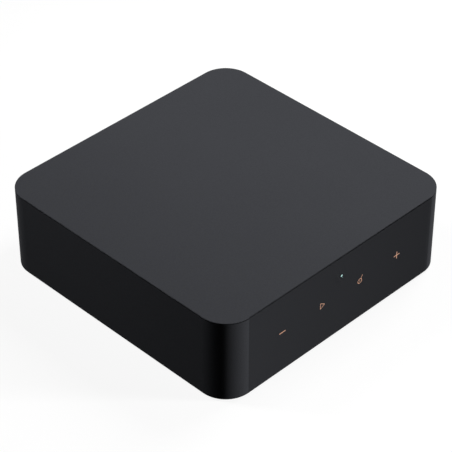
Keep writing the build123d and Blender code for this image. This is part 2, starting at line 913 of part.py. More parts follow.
# Ethernet socket: a sheet-metal shell round a moulded insert with eight spring contacts
insert_front = ethernet_front - ethernet_sheet
insert_bottom = board_top + ethernet_sheet
insert_height = ethernet_height - 2 * ethernet_sheet
with BuildPart() as ethernet_shell:
    with BuildSketch(wall_plane(ethernet_front)):
        with Locations((ethernet_x, board_top)):
            Rectangle(ethernet_width, ethernet_height, align=(Align.CENTER, Align.MIN))
    extrude(amount=ethernet_depth)
    fillet(ethernet_shell.edges().filter_by(Axis.Y), 2 * ethernet_sheet)
    with BuildSketch(wall_plane(ethernet_front)):
        with Locations((ethernet_x, insert_bottom)):
            RectangleRounded(
                ethernet_width - 2 * ethernet_sheet,
                insert_height,
                ethernet_sheet,
                align=(Align.CENTER, Align.MIN),
            )
    extrude(amount=ethernet_depth - ethernet_sheet, mode=Mode.SUBTRACT)
save(ethernet_shell.part, "ethernet_shell")

latch_bottom = insert_bottom + latch_floor
key_bottom = latch_bottom + latch_height
plug_bottom = key_bottom + key_height
plug_top = plug_bottom + plug_height
with BuildPart() as ethernet_insert:
    with BuildSketch(wall_plane(insert_front)):
        with Locations((ethernet_x, insert_bottom)):
            RectangleRounded(
                ethernet_width - 2 * ethernet_sheet - 2 * close_gap,
                insert_height - close_gap,
                ethernet_sheet,
                align=(Align.CENTER, Align.MIN),
            )
    extrude(amount=ethernet_depth - 2 * ethernet_sheet)
    with BuildSketch(wall_plane(insert_front)):
        with Locations((ethernet_x, plug_bottom)):
            Rectangle(plug_width, plug_height, align=(Align.CENTER, Align.MIN))
        with Locations((ethernet_x, key_bottom)):
            Rectangle(key_width, key_height, align=(Align.CENTER, Align.MIN))
        with Locations((ethernet_x, latch_bottom)):
            Rectangle(latch_width, latch_height, align=(Align.CENTER, Align.MIN))
    extrude(amount=plug_depth, mode=Mode.SUBTRACT)
save(ethernet_insert.part, "ethernet_insert")

contact_front = insert_front - ethernet_contact_start
contact_bend = contact_front - ethernet_contact_root
contact_end = contact_bend - ethernet_contact_run
row_left = ethernet_x - (ethernet_contact_count - 1) * ethernet_contact_pitch / 2
with BuildPart() as ethernet_contacts:
    for index in range(ethernet_contact_count):
        strip_left = row_left + index * ethernet_contact_pitch - ethernet_contact_width / 2
        with BuildSketch(Plane.YZ.offset(strip_left)):
            with BuildLine():
                Polyline(
                    (contact_front, plug_top),
                    (contact_front, plug_top - ethernet_contact_width),
                    (contact_bend, plug_top - ethernet_contact_width),
                    (contact_end, plug_top - ethernet_contact_drop),
                    (contact_end, plug_top - ethernet_contact_drop + ethernet_contact_width),
                    (contact_bend, plug_top),
                    close=True,
                )
            make_face()
        extrude(amount=ethernet_contact_width)
save(ethernet_contacts.part, "ethernet_contacts")

# Power socket: a drawn metal shell with a thin tongue in the middle of its mouth
power_front = panel_face
power_level = board_top + power_height / 2
with BuildPart() as power_socket_shell:
    with BuildSketch(wall_plane(power_front)):
        with Locations((power_x, power_level)):
            RectangleRounded(power_width, power_height, power_round)
            RectangleRounded(
                power_width - 2 * power_sheet,
                power_height - 2 * power_sheet,
                power_round - power_sheet,
                mode=Mode.SUBTRACT,
            )
    extrude(amount=power_depth)
save(power_socket_shell.part, "power_socket_shell")

power_back = power_front - power_depth
with BuildPart() as power_socket_tongue:
    with BuildSketch(wall_plane(power_back + tongue_block)):
        with Locations((power_x, power_level)):
            RectangleRounded(
                power_width - 2 * power_sheet - 2 * close_gap,
                power_height - 2 * power_sheet - 2 * close_gap,
                power_round - power_sheet - close_gap,
            )
    extrude(amount=tongue_block)
    with BuildSketch(wall_plane(power_back + tongue_block + tongue_length)):
        with Locations((power_x, power_level)):
            Rectangle(tongue_width, tongue_height)
    extrude(amount=tongue_length)
    chamfer(
        power_socket_tongue.faces().sort_by(Axis.Y)[-1].edges(), tongue_height / 4
    )
save(power_socket_tongue.part, "power_socket_tongue")

# Trigger jack: a moulded block with a round nose and a bore for a 3.5 mm plug
jack_level = board_top + jack_height / 2
jack_front = panel_face + jack_proud
with BuildPart() as trigger_jack:
    with BuildSketch(wall_plane(panel_back)):
        with Locations((trigger_x, jack_level)):
            Rectangle(jack_width, jack_height)
    extrude(amount=jack_depth)
    with BuildSketch(wall_plane(jack_front)):
        with Locations((trigger_x, jack_level)):
            Circle(jack_barrel_radius)
    extrude(amount=jack_front - panel_back)
    chamfer(
        trigger_jack.edges().filter_by(GeomType.CIRCLE).sort_by(Axis.Y)[-1], jack_proud
    )
    with BuildSketch(wall_plane(jack_front)):
        with Locations((trigger_x, jack_level)):
            Circle(jack_bore_radius)
    extrude(amount=jack_bore_depth, mode=Mode.SUBTRACT)
save(trigger_jack.part, "trigger_jack")

# Reset switch: a block on the board, and the long stem that shows in the panel
reset_level = board_top + reset_axis_lift
switch_front = panel_back - reset_body_setback
with BuildPart() as reset_switch:
    with BuildSketch(wall_plane(switch_front)):
        with Locations((reset_x, board_top)):
            Rectangle(reset_body_width, reset_body_height, align=(Align.CENTER, Align.MIN))
    extrude(amount=reset_body_depth)
    with BuildSketch(wall_plane(switch_front)):
        with Locations((reset_x, reset_level)):
            Circle(reset_stem_radius + reset_stem_gap)
    extrude(amount=reset_stem_depth + reset_travel + port_gap, mode=Mode.SUBTRACT)
save(reset_switch.part, "reset_switch")

stem_root = switch_front - reset_stem_depth
stem_tip = panel_face + reset_proud
with BuildPart() as reset_button:
    with BuildSketch(wall_plane(stem_tip)):
        with Locations((reset_x, reset_level)):
            Circle(reset_stem_radius)
    extrude(amount=stem_tip - stem_root)
    fillet(reset_button.edges().filter_by(GeomType.CIRCLE).sort_by(Axis.Y)[-1], reset_proud / 2)
save(reset_button.part, "reset_button")

# Processor under the heat spreader: the pad between them lies on both
processor_along_share = -0.13
processor_place = on_board(0, processor_along_share)
with BuildPart() as processor:
    with BuildSketch(Plane.XY.offset(board_top)):
        with Locations(processor_place):
            Rectangle(carrier_size, carrier_size)
    extrude(amount=carrier_height)
    with BuildSketch(Plane.XY.offset(board_top + carrier_height)):
        with Locations(processor_place):
            Rectangle(processor_size, processor_size)
    extrude(amount=processor_height)
    chamfer(processor.faces().sort_by(Axis.Z)[-1].edges(), processor_height / 4)
save(processor.part, "processor")

pad_bottom = board_top + carrier_height + processor_height
pad_top = pad_bottom + pad_thickness
with BuildPart() as thermal_pad:
    with BuildSketch(Plane.XY.offset(pad_bottom)):
        with Locations(processor_place):
            RectangleRounded(pedestal_size, pedestal_size, spreader_round / 2)
    extrude(amount=pad_top - pad_bottom)
save(thermal_pad.part, "thermal_pad")

# Heat spreader: a plate with a pedestal, screwed down onto four threaded spacers
with BuildPart() as heat_spreader:
    with BuildSketch(Plane.XY.offset(spreader_bottom)):
        with Locations((0, spreader_middle)):
            RectangleRounded(spreader_width, spreader_depth, spreader_round)
        with Locations(*spacer_places):
            Circle(spreader_shank_radius + fit_gap, mode=Mode.SUBTRACT)
    extrude(amount=spreader_thickness)
    with BuildSketch(Plane.XY.offset(pad_top)):
        with Locations(processor_place):
            Rectangle(pedestal_size, pedestal_size)
    extrude(amount=spreader_bottom - pad_top)
save(heat_spreader.part, "heat_spreader")

with BuildPart() as spreader_spacers:
    with BuildSketch(Plane.XY.offset(board_top)):
        with Locations(*spacer_places):
            RegularPolygon(spacer_radius, 6)
            Circle(spreader_shank_radius + close_gap, mode=Mode.SUBTRACT)
    extrude(amount=spreader_lift)
save(spreader_spacers.part, "spreader_spacers")

spreader_screw = screw(
    spreader_shank_radius, spreader_shank_length, spreader_head_radius, spreader_head_height
)
spreader_top = spreader_bottom + spreader_thickness
with BuildPart() as spreader_screws:
    with Locations(*[(x, y, spreader_top) for x, y in spacer_places]):
        add(spreader_screw)
save(spreader_screws.part, "spreader_screws")

# Flat packages on the main board
memory_chip = chip(memory_length, memory_width, memory_lead_count, memory_pitch)
memory_share = 0.214
with BuildPart() as memory_chips:
    for side in (-1, 1):
        x, y = on_board(side * memory_share, processor_along_share)
        with Locations((x, y, board_top)):
            add(memory_chip)
save(memory_chips.part, "memory_chips")

converter_chip = chip(converter_length, converter_width, converter_lead_count, converter_pitch)
converter_across_shares = (-0.35, -0.195)
with BuildPart() as audio_converters:
    for across_share in converter_across_shares:
        with Locations((across_share * board_width, converter_middle, board_top)):
            add(converter_chip)
save(audio_converters.part, "audio_converters")

with BuildPart() as network_chip:
    with BuildSketch(Plane.XY.offset(board_top)):
        with Locations(network_place):
            Rectangle(network_size, network_size)
    extrude(amount=package_height)
    chamfer(network_chip.faces().sort_by(Axis.Z)[-1].edges(), package_height / 4)
save(network_chip.part, "network_chip")

# Clock crystal beside the processor: a metal can with round corners
crystal_shares = (0.136, 0.02)
crystal_place = on_board(*crystal_shares)
with BuildPart() as clock_crystal:
    with BuildSketch(Plane.XY.offset(board_top)):
        with Locations(crystal_place):
            RectangleRounded(crystal_length, crystal_width, crystal_round)
    extrude(amount=crystal_height)
    fillet(clock_crystal.edges().group_by(Axis.Z)[-1], crystal_round / 2)
save(clock_crystal.part, "clock_crystal")


def can_capacitor(radius, height):
    """A capacitor can with a waist above its seal and a round shoulder."""
    waist_share = 0.93
    waist_level_share = 0.16
    waist_half_share = 0.03
    low = (waist_level_share - waist_half_share) * height
    middle = waist_level_share * height
    high = (waist_level_share + waist_half_share) * height
    with BuildPart() as can:
        with BuildSketch(Plane.XZ):
            with BuildLine():
                Polyline(
                    (0, 0),
                    (radius, 0),
                    (radius, low),
                    (waist_share * radius, middle),
                    (radius, high),
                    (radius, height),
                    (0, height),
                    close=True,
                )
            make_face()
        revolve(axis=Axis.Z)
        fillet(can.edges().filter_by(GeomType.CIRCLE).sort_by(Axis.Z)[-1], radius / 8)
    return can.part


power_can = can_capacitor(power_can_radius, power_can_height)
power_can_across_shares = (0.195, 0.292, 0.389)
with BuildPart() as power_capacitors:
    for across_share in power_can_across_shares:
        with Locations((across_share * board_width, can_middle, board_top)):
            add(power_can)
save(power_capacitors.part, "power_capacitors")

audio_can = can_capacitor(audio_can_radius, audio_can_height)
audio_can_across_shares = (-0.389, -0.311, -0.233, -0.156)
with BuildPart() as audio_capacitors:
    for across_share in audio_can_across_shares:
        with Locations((across_share * board_width, can_middle, board_top)):
            add(audio_can)
save(audio_capacitors.part, "audio_capacitors")

# Power inductors: low shielded blocks with cut corners, beside the heat spreader
inductor_across_share = 0.462
inductor_along_shares = (0.0185, 0.111)
with BuildPart() as power_inductors:
    for along_share in inductor_along_shares:
        x, y = on_board(inductor_across_share, along_share)
        with BuildSketch(Plane.XY.offset(board_top)):
            with Locations((x, y)):
                RectangleRounded(inductor_size, inductor_size, inductor_size / 6)
        extrude(amount=inductor_height)
save(power_inductors.part, "power_inductors")

# Wireless module: its own small board with a lead socket at each end, under a drawn shield
module_middle = board_front + module_setback
module_top = board_top + module_thickness
socket_x = module_width / 2 - module_socket_inset
with BuildPart() as wireless_module:
    with BuildSketch(Plane.XY.offset(board_top)):
        with Locations((0, module_middle)):
            Rectangle(module_width, module_depth)
    extrude(amount=module_thickness)
    with BuildSketch(Plane.XY.offset(module_top)):
        with Locations((-socket_x, module_middle), (socket_x, module_middle)):
            Circle(module_socket_radius)
    extrude(amount=module_socket_height)
save(wireless_module.part, "wireless_module")

with BuildPart() as wireless_shield:
    with BuildSketch(Plane.XY.offset(module_top)):
        with Locations((0, module_middle)):
            RectangleRounded(shield_width, shield_depth, 2 * shield_sheet)
    extrude(amount=shield_height)
    fillet(wireless_shield.edges().group_by(Axis.Z)[-1], shield_sheet)
    with BuildSketch(Plane.XY.offset(module_top)):
        with Locations((0, module_middle)):
            Rectangle(shield_width - 2 * shield_sheet, shield_depth - 2 * shield_sheet)
    extrude(amount=shield_height - shield_sheet, mode=Mode.SUBTRACT)
save(wireless_shield.part, "wireless_shield")

# Antennas lie on the inside of the side walls, each fed by a thin coaxial lead
antenna_middle = board_front + antenna_setback
antenna_bottom = shell_bottom + antenna_lift
antenna_level = antenna_bottom + antenna_height / 2
antenna_face = inner_width / 2 - antenna_thickness
plug_bottom_level = module_top + module_socket_height
lead_level = plug_bottom_level + lead_plug_height / 2
lead_rise_x = antenna_face - lead_end_run

for side, side_name in ((-1, "left"), (1, "right")):
    antenna_plane = Plane.YZ.offset(side * antenna_face)
    with BuildPart() as antenna:
        with BuildSketch(antenna_plane):
            with Locations((antenna_middle, antenna_level)):
                RectangleRounded(antenna_length, antenna_height, antenna_thickness)
        extrude(amount=side * antenna_thickness)
    save(antenna.part, f"antenna_{side_name}")

    with BuildPart() as antenna_lead:
        with BuildLine():
            route = FilletPolyline(
                (side * socket_x, module_middle, lead_level),
                (side * lead_rise_x, module_middle, lead_level),
                (side * lead_rise_x, module_middle, antenna_level),
                (side * antenna_face, module_middle, antenna_level),
                radius=lead_bend,
            )
        with BuildSketch(Plane(origin=route @ 0, z_dir=route % 0)):
            Circle(lead_radius)
        sweep(path=route)
        with BuildSketch(Plane.XY.offset(plug_bottom_level)):
            with Locations((side * socket_x, module_middle)):
                Circle(lead_plug_radius)
        extrude(amount=lead_plug_height)
    save(antenna_lead.part, f"antenna_lead_{side_name}")

# Ribbon cable from the main board's front edge up to the touch board, and its two sockets
touch_socket_bottom = touch_low + ribbon_socket_inset
ribbon_level = board_top + ribbon_socket_height / 2
ribbon_front = touch_back + ribbon_socket_height / 2
with BuildPart() as ribbon_sockets:
    with BuildSketch(Plane.XY.offset(board_top)):
        with Locations((ribbon_x, board_front)):
            Rectangle(
                ribbon_socket_width, ribbon_socket_depth, align=(Align.CENTER, Align.MIN)
            )
    extrude(amount=ribbon_socket_height)
    with BuildSketch(wall_plane(touch_back)):
        with Locations((ribbon_x, touch_socket_bottom)):
            Rectangle(
                ribbon_socket_width, ribbon_socket_depth, align=(Align.CENTER, Align.MIN)
            )
    extrude(amount=-ribbon_socket_height)
save(ribbon_sockets.part, "ribbon_sockets")

with BuildPart() as ribbon_cable:
    with BuildSketch(Plane.YZ.offset(ribbon_x - ribbon_width / 2)):
        with BuildLine():
            FilletPolyline(
                (board_front, ribbon_level),
                (ribbon_front, ribbon_level),
                (ribbon_front, touch_socket_bottom),
                radius=ribbon_bend,
            )
        trace(line_width=ribbon_thickness)
    extrude(amount=ribbon_width)
save(ribbon_cable.part, "ribbon_cable")
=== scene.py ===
# A network music streamer on a pale floor, in soft studio light, seen from above its front left corner.
# Lengths are in metres and colours are linear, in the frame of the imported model.
import json
import math

import bpy
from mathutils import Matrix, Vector


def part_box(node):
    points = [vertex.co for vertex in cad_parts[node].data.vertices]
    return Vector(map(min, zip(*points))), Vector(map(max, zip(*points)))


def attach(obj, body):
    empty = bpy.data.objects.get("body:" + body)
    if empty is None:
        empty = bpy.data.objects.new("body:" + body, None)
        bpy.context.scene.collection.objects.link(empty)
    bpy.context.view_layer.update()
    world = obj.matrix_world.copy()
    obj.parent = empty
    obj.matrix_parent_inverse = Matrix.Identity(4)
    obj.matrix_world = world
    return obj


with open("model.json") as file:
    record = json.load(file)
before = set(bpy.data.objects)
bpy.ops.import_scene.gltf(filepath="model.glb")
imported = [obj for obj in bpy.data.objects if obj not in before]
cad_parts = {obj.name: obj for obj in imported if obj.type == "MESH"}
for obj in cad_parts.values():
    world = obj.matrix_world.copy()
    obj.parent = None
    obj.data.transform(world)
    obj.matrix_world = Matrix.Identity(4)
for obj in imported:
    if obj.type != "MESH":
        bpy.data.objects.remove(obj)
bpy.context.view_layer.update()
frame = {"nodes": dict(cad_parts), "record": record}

mm = 0.001
white = (1.0, 1.0, 1.0)

# Camera: its angles and distance are those of the photograph, about a point at this height on the
# case's middle line. The principal point is the pixel that the camera's axis passes through
image_size = 452
camera_azimuth = math.radians(-45.006)
camera_elevation = math.radians(38.146)
camera_distance = 890.71 * mm
camera_height = 22.0 * mm
camera_lens = 157.913
camera_sensor = 36.0
principal_x = 225.224
principal_y = 221.964

# Lamps: azimuth and elevation in degrees, distance and side in metres, how bright a white surface
# at the case's middle looks when it faces the lamp, the width of its beam in degrees, and where
# that beam is aimed, in X and Y from the middle. Azimuth 0 is in front of the case, 90 to its right
lamps = {
    "key_lamp": dict(
        azimuth=89.5, elevation=48.0, distance=0.91, side=0.45,
        brightness=0.67, beam=180.0, aim_x=0.0, aim_y=0.0,
    ),
    "right_lamp": dict(
        azimuth=37.2, elevation=12.0, distance=2.0, side=0.4,
        brightness=2.95, beam=24.4, aim_x=-0.237, aim_y=-0.2,
    ),
    "left_lamp": dict(
        azimuth=-150.3, elevation=44.7, distance=0.80, side=0.3,
        brightness=1.68, beam=38.7, aim_x=0.142, aim_y=-0.029,
    ),
}
ambient = 0.012

# Floor: pale, and paler where it is seen than what it throws back on the object. Its own light is
# lowest near the object, where the lamps reach it, and white like the world behind it further out
floor_size = 12.0
floor_pale = (0.15, 0.15, 0.15)
floor_bounce = (0.02, 0.02, 0.02)
floor_lift = 0.88
lift_starts = 0.35
lift_ends = 1.3

# Case: the front is darkened with painted shade from the start of the near corner to a little past the
# start of the right one, and the groove of the seam that runs round the case just under the top is painted
# near black as painted shade
case_colour = (0.0450, 0.0465, 0.0520)
case_gloss = 0.004
case_roughness = (0.46, 0.56)
case_tooth = 0.04 * mm
# Wear and painted highlight: the share by which the edges are made paler
case_wear_and_highlight = 0.25
corner_radius = 13.5 * mm
# Painted shade: the share of its colour that the flat front keeps
front_painted_shade = 0.61
front_reach = 2.0 * mm
front_skin = 0.2 * mm
seam_drop = 0.3 * mm
seam_width = 0.4 * mm
# Painted shade: the near black that the seam's groove is painted, for the shade inside it
seam_painted_shade = (0.002, 0.002, 0.002)

# Printed marks, status light and circuit boards
foil_dark = (0.53, 0.285, 0.185)
foil_pale = (0.69, 0.395, 0.265)
foil_deep = (0.46, 0.235, 0.15)
pin_radius = 0.6 * mm
track_pitch = 0.55 * mm
via_pitch = 2.4 * mm
via_colour = (0.62, 0.52, 0.3)
wave_turn = 0.32    # a Wave texture of scale 1 repeats about this often, in metres
rub_and_highlight_patch = 4.0 * mm

# Plastics: colour, roughness, size and depth of the grain in mm, gloss, size of the slow shifts of
# tone in mm, and how far the edges are paled by wear and a painted highlight
plastics = {
    "base_plastic": ((0.032, 0.033, 0.036), 0.55, 0.45, 0.045, 0.2, 30.0, 0.35),
    "panel_plastic": ((0.034, 0.035, 0.039), 0.5, 0.45, 0.045, 0.1, 30.0, 0.35),
    "socket_black": ((0.018, 0.018, 0.019), 0.35, 0.3, 0.014, 0.35, 10.0, 0.35),
    "socket_red": ((0.55, 0.02, 0.02), 0.3, 0.25, 0.004, 0.5, 10.0, 0.1),
    "socket_white": ((0.80, 0.80, 0.78), 0.3, 0.25, 0.004, 0.5, 10.0, 0.0),
    "socket_orange": ((0.80, 0.25, 0.03), 0.3, 0.25, 0.004, 0.5, 10.0, 0.0),
    "shutter_grey": ((0.050, 0.050, 0.052), 0.45, 0.2, 0.006, 0.4, 10.0, 0.3),
    "package_black": ((0.030, 0.030, 0.032), 0.6, 0.12, 0.006, 0.3, 10.0, 0.0),
    "lead_jacket": ((0.060, 0.060, 0.060), 0.4, 0.3, 0.004, 0.5, 20.0, 0.0),
    "led_lens": ((0.85, 0.85, 0.80), 0.25, 0.2, 0.002, 0.5, 10.0, 0.0),
    "ribbon_film": ((0.75, 0.75, 0.72), 0.25, 0.5, 0.004, 0.5, 10.0, 0.0),
    "panel_ink": ((0.60, 0.60, 0.60), 0.55, 0.25, 0.004, 0.3, 10.0, 0.0),
}

# Metals: colour, roughness, how the lines are drawn out, and their width and depth in mm
even = (1.0, 1.0, 1.0)
brushed = (0.04, 1.0, 1.0)
turned = (1.0, 1.0, 8.0)
metals = {
    "screw_steel": ((0.10, 0.10, 0.11), 0.38, even, 0.3, 0.002),
    "bright_steel": ((0.62, 0.62, 0.64), 0.28, even, 0.3, 0.002),
    "nickel": ((0.70, 0.68, 0.64), 0.20, even, 0.5, 0.001),
    "gold_contact": ((0.85, 0.62, 0.25), 0.22, even, 0.3, 0.002),
    "brass_spacer": ((0.72, 0.55, 0.28), 0.3, turned, 0.3, 0.002),
    "tin_shield": ((0.70, 0.70, 0.70), 0.32, brushed, 0.3, 0.002),
    "spreader_aluminium": ((0.70, 0.71, 0.72), 0.36, brushed, 0.3, 0.002),
    "can_sleeve": ((0.75, 0.75, 0.76), 0.3, turned, 0.3, 0.002),
    "audio_can_sleeve": ((0.12, 0.16, 0.30), 0.35, turned, 0.3, 0.002),
}
tarnish = 0.9

# Symbols printed on the back panel: which one, the node it stands over, and the height of its
# middle in mm. Their lines and arrow heads are in mm too, a head as its length and half its width
printed = {
    "power_print": ("direct", "power_socket_shell", 16.6),
    "trigger_print": ("pulse", "trigger_jack", 18.6),
    "reset_print": ("renew", "reset_button", 18.2),
    "network_print": ("network", "ethernet_shell", 25.8),
    "optical_in_print": ("in", "optical_in_housing", 23.9),
    "optical_out_print": ("out", "optical_out_housing", 23.9),
    "coax_print": ("out", "coax_block", 27.4),
    "line_out_print": ("out", "line_out_block", 36.7),
    "line_in_print": ("in", "line_in_block", 36.7),
}
print_line = 0.32
arrow_head = (0.9, 0.65)
turn_head = (0.8, 0.6)
print_sunk = 0.02 * mm
print_proud = 0.03 * mm


class Nodes:
    """A node tree being built."""

    def __init__(self, tree):
        self.tree = tree

    def add(self, kind, settings=None, **inputs):
        """Adds a node. Inputs are given by name, with _ for a space, as sockets or as values."""
        item = self.tree.nodes.new(kind)
        for name, value in (settings or {}).items():
            setattr(item, name, value)
        for name, value in inputs.items():
            self.feed(item.inputs[name.replace("_", " ")], value)
        return item

    def feed(self, socket, value):
        """Links a socket to a socket, or gives it a constant."""
        if isinstance(value, bpy.types.NodeSocket):
            self.tree.links.new(value, socket)
        elif socket.type == "RGBA" and len(value) == 3:
            socket.default_value = (*value, 1.0)
        else:
            socket.default_value = value

    def calc(self, operation, first, second, clamp=False):
        """An operation on two numbers."""
        item = self.add("ShaderNodeMath", {"operation": operation, "use_clamp": clamp})
        self.feed(item.inputs[0], first)
        self.feed(item.inputs[1], second)
        return item.outputs[0]

    def vector(self, operation, first, second=(0.0, 0.0, 0.0)):
        """The node of an operation on one or two vectors."""
        item = self.add("ShaderNodeVectorMath", {"operation": operation})
        self.feed(item.inputs[0], first)
        self.feed(item.inputs[1], second)
        return item

    def length(self, value):
        """The length of a vector."""
        return self.vector("LENGTH", value).outputs["Value"]

    def spread(self, value, low, high, start=0.3, end=0.7):
        """Maps start to low and end to high. Noise lies mostly between 0.3 and 0.7."""
        item = self.add("ShaderNodeMapRange", Value=value)
        for name, number in (("From Min", start), ("From Max", end), ("To Min", low), ("To Max", high)):
            item.inputs[name].default_value = number
        return item.outputs["Result"]


class Finish(Nodes):
    """A node material being built. Its textures use the object's own coordinates, in metres."""

    def __init__(self, name):
        self.material = bpy.data.materials.new(name)
        self.material.use_nodes = True
        super().__init__(self.material.node_tree)
        self.shader = self.tree.nodes["Principled BSDF"]
        self.place = self.add("ShaderNodeTexCoord").outputs["Object"]

    def set(self, **inputs):
        """Gives the shader its inputs, by name."""
        for name, value in inputs.items():
            self.feed(self.shader.inputs[name.replace("_", " ")], value)

    def along(self, axis):
        """The place along X, Y or Z, in metres."""
        return self.add("ShaderNodeSeparateXYZ", Vector=self.place).outputs[axis]

    def between(self, value, low, high, soft=0.02 * mm):
        """1 where the value lies between low and high, and 0 elsewhere."""
        above = self.spread(value, 0.0, 1.0, low - soft, low + soft)
        below = self.spread(value, 1.0, 0.0, high - soft, high + soft)
        return self.calc("MULTIPLY", above, below)

    def noise(self, size, detail=2.0, stretch=even):
        """Noise whose grains are about this size. A stretch under 1 draws them out along that axis."""
        place = self.add("ShaderNodeMapping", Vector=self.place, Scale=stretch).outputs["Vector"]
        item = self.add("ShaderNodeTexNoise", Vector=place, Scale=1.0 / size, Detail=detail)
        return item.outputs["Fac"]

    def mix(self, factor, first, second):
        """A colour between two colours, whose sockets are the node's seventh and eighth."""
        item = self.add("ShaderNodeMix", {"data_type": "RGBA"})
        self.feed(item.inputs[0], factor)
        self.feed(item.inputs[6], first)
        self.feed(item.inputs[7], second)
        return item.outputs[2]

    def shade(self, colour, share):
        """A colour socket made lighter, or darker for a share under 1."""
        item = self.vector("SCALE", colour)
        item.inputs["Scale"].default_value = share
        return item.outputs["Vector"]

    def mottle(self, colour, slow, fine, slow_shares, fine_shares):
        """The colour with slow shifts of tone under a fine grain, each between two shares of it."""
        body = self.mix(self.spread(slow, 0.0, 1.0), *(tint(colour, share) for share in slow_shares))
        return self.mix(self.spread(fine, 0.0, 1.0), *(self.shade(body, share) for share in fine_shares))

    def bump(self, height, depth, strength):
        """A bump of this depth in metres."""
        item = self.add("ShaderNodeBump", Strength=strength, Distance=depth, Height=height)
        return item.outputs["Normal"]

    def edges(self, radius):
        """1 on sharp edges, falling to 0 within this radius of them."""
        bevel = self.add("ShaderNodeBevel", {"samples": 4}, Radius=radius).outputs["Normal"]
        flat = self.add("ShaderNodeNewGeometry").outputs["Normal"]
        dot = self.vector("DOT_PRODUCT", bevel, flat).outputs["Value"]
        return self.spread(dot, 1.0, 0.0, start=0.75, end=0.995)

    def rubbed_and_lit(self, radius, least):
        """How much the edges show rubbing and a painted highlight, unevenly: from least to 1 on the edge
        itself.
        """
        patches = self.spread(self.noise(rub_and_highlight_patch), least, 1.0)
        return self.calc("MULTIPLY", self.edges(radius), patches)


def tint(colour, share):
    """The colour made lighter, or darker for a share under 1."""
    return tuple(min(1.0, channel * share) for channel in colour)


def plastic(name, colour, roughness, grain, depth, gloss, patch, wear_and_highlight):
    """Moulded plastic: a spark texture, slow shifts of tone, and smoother edges that are paler from
    rubbing and a painted highlight.
    """
    look = Finish(name)
    slow = look.noise(patch * mm, detail=3.0)
    fine = look.noise(grain * mm)
    body = look.mottle(colour, slow, fine, slow_shares=(0.965, 1.035), fine_shares=(0.93, 1.09))
    rough = look.spread(fine, roughness - 0.04, roughness + 0.05)
    rough = look.calc("ADD", rough, look.spread(slow, -0.02, 0.02))
    if wear_and_highlight:
        worn_and_lit = look.rubbed_and_lit(0.4 * mm, least=0.4)
        # Edges paler from wear and a painted edge highlight
        body = look.mix(look.calc("MULTIPLY", worn_and_lit, wear_and_highlight), body, tint(colour, 1.9))
        rough = look.calc("SUBTRACT", rough, look.calc("MULTIPLY", worn_and_lit, 0.08))
    look.set(Base_Color=body, Roughness=rough, Specular_IOR_Level=gloss)
    look.set(Normal=look.bump(fine, depth * mm, strength=0.6))
    return look.material


def case_finish(name):
    """The housing's satin plastic, with painted shade on its flat front and in the seam under the top, and
    edges paler from rubbing and a painted highlight.
    """
    look = Finish(name)
    low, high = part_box("housing")
    slow = look.noise(50 * mm, detail=3.0)
    fine = look.noise(0.45 * mm, detail=3.0)
    body = look.mottle(case_colour, slow, fine, slow_shares=(0.98, 1.02), fine_shares=(0.92, 1.08))
    worn_and_lit = look.rubbed_and_lit(0.3 * mm, least=0.3)
    # Edges paler from wear and a painted edge highlight
    body = look.mix(look.calc("MULTIPLY", worn_and_lit, case_wear_and_highlight), body, tint(case_colour, 1.6))
    flat_half = high.x - corner_radius
    across = look.between(look.along("X"), -flat_half, flat_half + front_reach)
    front = look.between(look.along("Y"), low.y - front_skin, low.y + front_skin)
    # Painted shade: the flat front made darker
    body = look.mix(look.calc("MULTIPLY", across, front), body, look.shade(body, front_painted_shade))
    seam_top = high.z - seam_drop
    # Painted shade: the seam's groove painted near black
    seam = look.between(look.along("Z"), seam_top - seam_width, seam_top, soft=0.01 * mm)
    body = look.mix(seam, body, seam_painted_shade)
    rough = look.calc("ADD", look.spread(fine, *case_roughness), look.spread(slow, -0.02, 0.02))
    look.set(Base_Color=body, Roughness=rough, Specular_IOR_Level=case_gloss)
    look.set(Normal=look.bump(fine, case_tooth, strength=0.6))
    return look.material


def metal(name, colour, roughness, stretch, line, depth):
    """Plated or brushed metal: fine lines along one axis and slow shifts of tone and polish."""
    look = Finish(name)
    slow = look.noise(6 * mm, detail=3.0)
    lines = look.noise(line * mm, stretch=stretch)
    body = look.mix(look.spread(slow, 0.0, 1.0), tint(colour, tarnish), colour)
    rough = look.spread(lines, roughness - 0.05, roughness + 0.07)
    rough = look.calc("ADD", rough, look.spread(slow, -0.03, 0.04))
    look.set(Base_Color=body, Roughness=rough, Metallic=1.0)
    look.set(Normal=look.bump(lines, depth * mm, strength=0.5))
    return look.material


def laminate(name, mask_colour, trace_colour):
    """A circuit board: solder mask over copper tracks and plated vias."""
    look = Finish(name)
    waves = []
    for axis in ("X", "Y"):
        item = look.add(
            "ShaderNodeTexWave", {"bands_direction": axis},
            Vector=look.place, Scale=wave_turn / track_pitch, Distortion=0.0,
        )
        waves.append(look.spread(item.outputs["Fac"], 0.0, 1.0, start=0.6, end=0.7))
    region = look.spread(look.noise(9 * mm, detail=0.0), 0.0, 1.0, start=0.47, end=0.5)
    tracks = look.mix(region, waves[0], waves[1])
    dots = look.add("ShaderNodeTexVoronoi", Vector=look.place, Scale=1.0 / via_pitch).outputs["Distance"]
    vias = look.spread(dots, 1.0, 0.0, start=0.10, end=0.14)
    body = look.mix(tracks, mask_colour, trace_colour)
    body = look.mix(vias, body, via_colour)
    look.set(Base_Color=body, Roughness=look.spread(look.noise(1 * mm), 0.3, 0.4))
    look.set(Normal=look.bump(tracks, 0.02 * mm, strength=0.5))
    return look.material


def rubber(name, colour, roughness):
    """Soft matte rubber with a fine tooth and a little dust."""
    look = Finish(name)
    tooth = look.noise(0.2 * mm, detail=3.0)
    dust = look.spread(look.noise(5 * mm, detail=4.0), 0.0, 0.35, start=0.5, end=0.8)
    look.set(Base_Color=look.mix(dust, colour, tint(colour, 1.8)), Specular_IOR_Level=0.25)
    look.set(Roughness=look.spread(tooth, roughness - 0.05, roughness + 0.08))
    look.set(Normal=look.bump(tooth, 0.03 * mm, strength=0.7))
    return look.material


